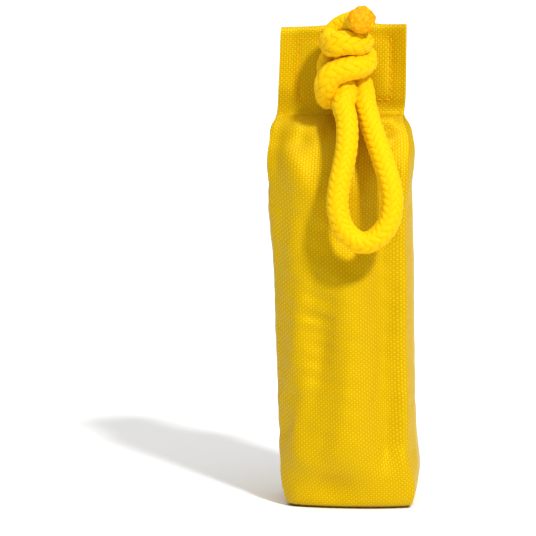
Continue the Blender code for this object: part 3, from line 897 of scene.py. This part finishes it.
def woven_cover():
    material, tree, shader = start_material("woven_cover", (0.74, 0.45, 0.004), 0.44, 1.0,
                                            (0.12, 0.25, (1.0, 0.85, 0.20)))
    height, parity, cloth = plain_weave(tree)
    soft = noise(tree, cloth, 0.09)
    streak = noise(tree, cloth, 1.3, 1.0)
    top = math_node(tree, "POWER", height, 1.6, clamp=True)
    # Painted highlight: the crown of each warp yarn on top takes the lighter warp tone.
    warp_crown_highlight = mix_colour(tree, math_node(tree, "MULTIPLY", top, parity), WEFT_TONE, WARP_TONE_AND_HIGHLIGHT)
    # Painted shade: the colour darkens where the weave is low, in the gaps between the yarns.
    gap_shade = math_node(tree, "SUBTRACT", 1.0, math_node(tree, "POWER", height, 0.5, clamp=True))
    woven = mix_colour(tree, math_node(tree, "MULTIPLY", gap_shade, 0.75), warp_crown_highlight, GAP_SHADE_TONE)
    mottled = mix_colour(tree, math_node(tree, "MULTIPLY", soft, 0.20), woven, MOTTLED_TONE)
    worn = mix_colour(tree, math_node(tree, "MULTIPLY", streak, 0.08), mottled, WORN_TONE)
    tree.links.new(worn, shader.inputs["Base Color"])
    shader.inputs["Specular Tint"].default_value = (1.0, 0.98, 0.06, 1.0)
    bump(tree, shader, height, 0.35, 0.00030)
    return material


cover_material = woven_cover()
for piece in (cover, base):
    piece.data.materials.append(cover_material)

# %% [markdown]
# ### Rope yarn
# Each yarn is a bundle of fine bright filaments with a slight twist, softened by fuzz.
# Its colour is darker in the grooves between filaments and lighter on their crests: painted shade.

# %% Rope yarn


def rope_yarn():
    material, tree, shader = start_material("rope_yarn", (0.90, 0.61, 0.002), 0.6, 0.10,
                                            (0.10, 0.5, (1.0, 0.90, 0.30)))
    along = tree.nodes.new("ShaderNodeUVMap")
    along.uv_map = "along_yarn"
    parts = tree.nodes.new("ShaderNodeSeparateXYZ")
    tree.links.new(along.outputs["UV"], parts.inputs[0])
    twisted = math_node(tree, "ADD", math_node(tree, "MULTIPLY", parts.outputs["X"], 16.0),
                        math_node(tree, "MULTIPLY", parts.outputs["Y"], 3.0))
    filament = ridges(tree, twisted)
    place = object_place(tree)
    fuzz = noise(tree, place, 1800.0, 2.0)
    height = math_node(tree, "ADD", math_node(tree, "MULTIPLY", filament, 0.6),
                       math_node(tree, "MULTIPLY", fuzz, 0.7))
    # Painted shade: darker in the grooves between the filaments, lighter on their crests.
    colour = mix_colour(tree, filament, (0.82, 0.480, 0.0008), (0.90, 0.580, 0.0015))
    soft = noise(tree, place, 120.0)
    warmer = math_node(tree, "MULTIPLY", soft, 0.25)
    colour = mix_colour(tree, warmer, colour, (0.87, 0.455, 0.0006))
    tree.links.new(colour, shader.inputs["Base Color"])
    bump(tree, shader, height, 0.5, 0.00012)
    return material


rope.data.materials.append(rope_yarn())
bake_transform(rope)
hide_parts("rope_loop", "front_knot", "stopper_knot",
            "rope_neck", "rope_tail_front", "rope_tail_back")

# %% [markdown]
# ## Rope ends
# Both ends are cut hot, so the yarns melt into a firm, slightly flared button, a little
# more orange than the rope.

# %% Sealed ends
END_HEIGHT = 0.0024
FRONT_END_RADIUS, BACK_END_RADIUS = 0.00475, 0.0043
# Half section of a sealed end: share of the radius, share of the height.
END_PROFILE = [(0.0, 0.62), (0.35, 0.60), (0.66, 0.50), (0.88, 0.30), (1.0, 0.02), (1.02, -0.22),
               (0.96, -0.45), (0.80, -0.55), (0.0, -0.55)]


def sealed_end(name, line, radius):
    """A low dome across the end of the rope, turned from a profile and roughened."""
    tip = Vector(line[-1])
    heading = (tip - Vector(line[-4])).normalized()
    bm = bmesh.new()
    chain = [bm.verts.new((r * radius, 0.0, h * END_HEIGHT)) for r, h in END_PROFILE]
    edges = [bm.edges.new(pair) for pair in zip(chain, chain[1:])]
    bmesh.ops.spin(bm, geom=chain + edges, cent=(0.0, 0.0, 0.0), axis=(0.0, 0.0, 1.0),
                   angle=math.radians(360.0), steps=28, use_merge=True)
    bmesh.ops.remove_doubles(bm, verts=bm.verts[:], dist=1e-7)
    bmesh.ops.subdivide_edges(bm, edges=bm.edges[:], cuts=1, use_grid_fill=True)
    for vert in bm.verts:
        turn = math.atan2(vert.co.y, vert.co.x)
        out = math.hypot(vert.co.x, vert.co.y) / radius
        vert.co.xy *= 1.0 + 0.035 * math.sin(5.0 * turn + 0.7) + 0.03 * math.sin(11.0 * turn)
        vert.co.z += 0.00018 * math.sin(9.0 * out + 3.0 * turn) * min(1.0, 2.0 * out)
    bmesh.ops.recalc_face_normals(bm, faces=bm.faces[:])
    turned = heading.to_track_quat("Z", "Y").to_matrix().to_4x4()
    bmesh.ops.transform(bm, matrix=Matrix.Translation(tip) @ turned, verts=bm.verts[:])
    item = link_new(name, mesh_from(bm, name))
    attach(item, "knot")
    return item


def melted_rope():
    material, tree, shader = start_material("melted_rope", (0.93, 0.53, 0.003), 0.5, 0.12)
    beads = grains(tree, 900.0)
    colour = mix_colour(tree, math_node(tree, "MULTIPLY", beads, 1.2, clamp=True),
                        (0.88, 0.450, 0.001), (0.76, 0.29, 0.0006))
    tree.links.new(colour, shader.inputs["Base Color"])
    bump(tree, shader, beads, 0.7, 0.0003)
    return material


front_end = sealed_end("sealed_end_front", rope_line, FRONT_END_RADIUS)
back_end = sealed_end("sealed_end_back", rope_line[::-1], BACK_END_RADIUS)
seal_material = melted_rope()
for piece in (front_end, back_end):
    piece.data.materials.append(seal_material)

# %% [markdown]
# ## Sewing
# A box of stitches holds the plies of the tab together round the eyelet. Each stitch is a
# short bowed length of thread that dips into the cloth at both ends.

# %% Stitches on the tab
STITCH_PITCH = 0.0028
STITCH_LENGTH = 0.0023
THREAD_WIDTH = 0.00055
STITCH_BOW = 0.00020


def on_tab_face(spot, side):
    """Where a place on the flat tab, given as x and z, lies on its draped outer face."""
    x, z = np.array([spot.x / MM]), np.array([spot.y / MM])
    drape, lift = tab_drape(x, z)
    depth = side * (TAB_HALF / MM - float(stitch_groove(x, z)[0])) + float(drape[0])
    return Vector((spot.x, depth * MM, spot.y + float(lift[0]) * MM))


def add_stitch(bm, middle, direction, outward):
    made = bmesh.ops.create_uvsphere(bm, u_segments=8, v_segments=6, radius=0.5)["verts"]
    sideways = direction.cross(outward).normalized()
    for vert in made:
        x, y, z = vert.co
        lengthwise = z * STITCH_LENGTH * 1.05
        bow = (1.0 - (2.0 * z) ** 2) * STITCH_BOW
        vert.co = (middle + direction * lengthwise + sideways * (x * THREAD_WIDTH)
                   + outward * (y * THREAD_WIDTH * 0.8 + bow))


def stitch_line(name, start, end, side, node):
    """A row of stitches between two places on one face of the tab."""
    bm = bmesh.new()
    start, end = Vector(start), Vector(end)
    count = round((end - start).length / STITCH_PITCH)
    reach = 0.4 * STITCH_LENGTH / STITCH_PITCH
    for step in range(count):
        before, middle, after = [on_tab_face(start.lerp(end, (step + 0.5 + offset) / count), side)
                                 for offset in (-reach, 0.0, reach)]
        add_stitch(bm, middle, (after - before).normalized(), Vector((0.0, side, 0.0)))
    item = link_new(name, mesh_from(bm, name))
    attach(item, "tab")
    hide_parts(node)
    return item


box_left, box_right, box_low, box_high = (v * MM for v in (BOX_LEFT, BOX_RIGHT, BOX_LOW, BOX_HIGH))
box_lines = {
    "left": ((box_left, box_low), (box_left, box_high)),
    "right": ((box_right, box_low), (box_right, box_high)),
    "lower": ((box_left, box_low), (box_right, box_low)),
    "upper": ((box_left, box_high), (box_right, box_high)),
}
stitches = [stitch_line(f"stitches_{place}_{face}", *ends, side, f"tab_stitch_{place}_{face}")
            for face, side in (("front", -1.0), ("back", 1.0)) for place, ends in box_lines.items()]


def twisted_thread(name, colour):
    material, tree, shader = start_material(name, colour, 0.5, 0.1)
    place = object_place(tree)
    strands = tree.nodes.new("ShaderNodeTexWave")
    strands.inputs["Scale"].default_value = 900.0
    strands.inputs["Distortion"].default_value = 1.0
    tree.links.new(place, strands.inputs["Vector"])
    # Painted shade: the thread is darker in the grooves between its twisted strands.
    darker = tuple(0.8 * channel for channel in colour)
    tone = mix_colour(tree, strands.outputs["Fac"], darker, colour)
    tree.links.new(tone, shader.inputs["Base Color"])
    bump(tree, shader, strands.outputs["Fac"], 0.4, 0.00005)
    return material


thread_material = twisted_thread("sewing_thread", (0.84, 0.40, 0.003))
for piece in stitches:
    piece.data.materials.append(thread_material)

# %% [markdown]
# ## Hidden seams
# The four upright seams and the base seam are lockstitch lines just inside the bag's
# corners. Each is a round thread that follows the corner of the finished cover.

# %% Seam threads inside the cover
THREAD_RADIUS = 0.00022


def seam_tube(name, points, closed, node):
    """One line of sewing thread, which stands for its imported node."""
    line = smooth_line(points + points[:1] if closed else points, 0.003)
    if closed:
        line = line[:-1]
    curve = bpy.data.curves.new(name, "CURVE")
    curve.dimensions = "3D"
    curve.bevel_depth = THREAD_RADIUS
    curve.bevel_resolution = 1
    curve.use_fill_caps = not closed
    spline = curve.splines.new("POLY")
    spline.points.add(len(line) - 1)
    for point, place in zip(spline.points, line):
        point.co = (*place, 1.0)
    spline.use_cyclic_u = closed
    item = link_new(name, curve)
    curve.materials.append(thread_material)
    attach(item, "dummy_body")
    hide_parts(node)


SEAM_INSET = 0.0024
FOOT_CUT, FOOT_SEAM_Z = 0.003, 0.0014
seam_heights = np.linspace(0.006, 0.104, 12)
for side_name, outline, inward in (("left", left_outline, 1.0), ("right", right_outline, -1.0)):
    edge = outline_at(outline, seam_heights)
    for face_name, face in (("front", -1.0), ("back", 1.0)):
        points = [(x + inward * SEAM_INSET, face * (CORNER_DEPTH - SEAM_INSET), z)
                  for x, z in zip(edge, seam_heights)]
        place = f"{face_name}_{side_name}"
        seam_tube(f"corner_seam_{place}", points, False, f"seam_thread_{place}")

foot_left = outline_at(left_outline, 0.001) + SEAM_INSET
foot_right = outline_at(right_outline, 0.001) - SEAM_INSET
foot_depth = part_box("base_panel")[1].y - SEAM_INSET
cut_depth, cut_left, cut_right = foot_depth - FOOT_CUT, foot_left + FOOT_CUT, foot_right - FOOT_CUT
foot_corners = [(foot_left, -cut_depth), (cut_left, -foot_depth), (cut_right, -foot_depth),
                (foot_right, -cut_depth), (foot_right, cut_depth), (cut_right, foot_depth),
                (cut_left, foot_depth), (foot_left, cut_depth)]
seam_tube("base_seam", [(x, y, FOOT_SEAM_Z) for x, y in foot_corners], True, "seam_thread_base")

# %% [markdown]
# ## Metal, liner and fill
# The eyelet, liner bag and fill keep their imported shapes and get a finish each: rolled
# brass with fine scratches, thin film, and pale granules.

# %% Finishes for the carried-over nodes


def rolled_brass():
    material, tree, shader = start_material("rolled_brass", (0.72, 0.50, 0.20), 0.28)
    shader.inputs["Metallic"].default_value = 1.0
    place = object_place(tree)
    scratches = noise(tree, place, 2500.0, 4.0)
    tone = noise(tree, place, 300.0)
    colour = mix_colour(tree, tone, (0.62, 0.41, 0.15), (0.80, 0.58, 0.26))
    tree.links.new(colour, shader.inputs["Base Color"])
    rough = math_node(tree, "MULTIPLY_ADD", scratches, 0.3, 0.16)
    tree.links.new(rough, shader.inputs["Roughness"])
    bump(tree, shader, scratches, 0.15, 0.00004)
    return material


def liner_film():
    material, tree, shader = start_material("liner_film", (0.80, 0.80, 0.76), 0.35)
    place = object_place(tree)
    crinkle = noise(tree, place, 160.0, 5.0)
    # Painted shade: the film is darker in the hollows of its crinkles.
    colour = mix_colour(tree, crinkle, (0.70, 0.70, 0.66), (0.86, 0.86, 0.82))
    tree.links.new(colour, shader.inputs["Base Color"])
    bump(tree, shader, crinkle, 0.6, 0.0006)
    return material


def pale_granules():
    material, tree, shader = start_material("pale_granules", (0.85, 0.84, 0.80), 0.6)
    beads = grains(tree, 420.0)
    colour = mix_colour(tree, beads, (0.88, 0.87, 0.83), (0.62, 0.60, 0.55))
    tree.links.new(colour, shader.inputs["Base Color"])
    bump(tree, shader, beads, 1.0, 0.001)
    return material


brass = rolled_brass()
finishes = {"eyelet_barrel": brass, "eyelet_washer": brass,
            "liner_bag": liner_film(), "granule_fill": pale_granules()}
for node, material in finishes.items():
    for slot in bpy.data.objects[node].material_slots:
        slot.material = material

# %% [markdown]
# ## Floor and light
# A white sweep, one firm key from the right and above, and soft light from overhead and
# all round. The lamps are suns, so the floor is evenly white to its edge.

# %% Floor and light
FLOOR_HALF = 12.0


def white_floor():
    bm = bmesh.new()
    bmesh.ops.create_grid(bm, x_segments=2, y_segments=2, size=FLOOR_HALF)
    floor = link_new("white_floor", mesh_from(bm, "white_floor"))
    floor.data.materials.append(start_material("white_paper", (0.95, 0.95, 0.95), 0.9, 0.0)[0])


def sun(name, turn, height, strength, width):
    """A sun at an azimuth from -Y towards +X and at a height; they and its width in degrees."""
    data = bpy.data.lights.new(name, "SUN")
    data.energy = strength
    data.angle = math.radians(width)
    lamp = link_new(name, data)
    turn, height = math.radians(turn), math.radians(height)
    level = math.cos(height)
    toward = Vector((math.sin(turn) * level, -math.cos(turn) * level, math.sin(height)))
    lamp.rotation_euler = toward.to_track_quat("Z", "Y").to_euler()


white_floor()
sun("key_light", 31.5, 40.0, 2.3, 6.5)
sun("overhead_light", 0.0, 84.0, 1.5, 70.0)
world = bpy.data.worlds.new("white_room")
bpy.context.scene.world = world
world.use_nodes = True
background = world.node_tree.nodes["Background"]
background.inputs["Color"].default_value = (1.0, 1.0, 1.0, 1.0)
background.inputs["Strength"].default_value = 0.20
bpy.context.scene.view_settings.view_transform = "Standard"
bpy.context.scene.view_settings.look = "Medium High Contrast"
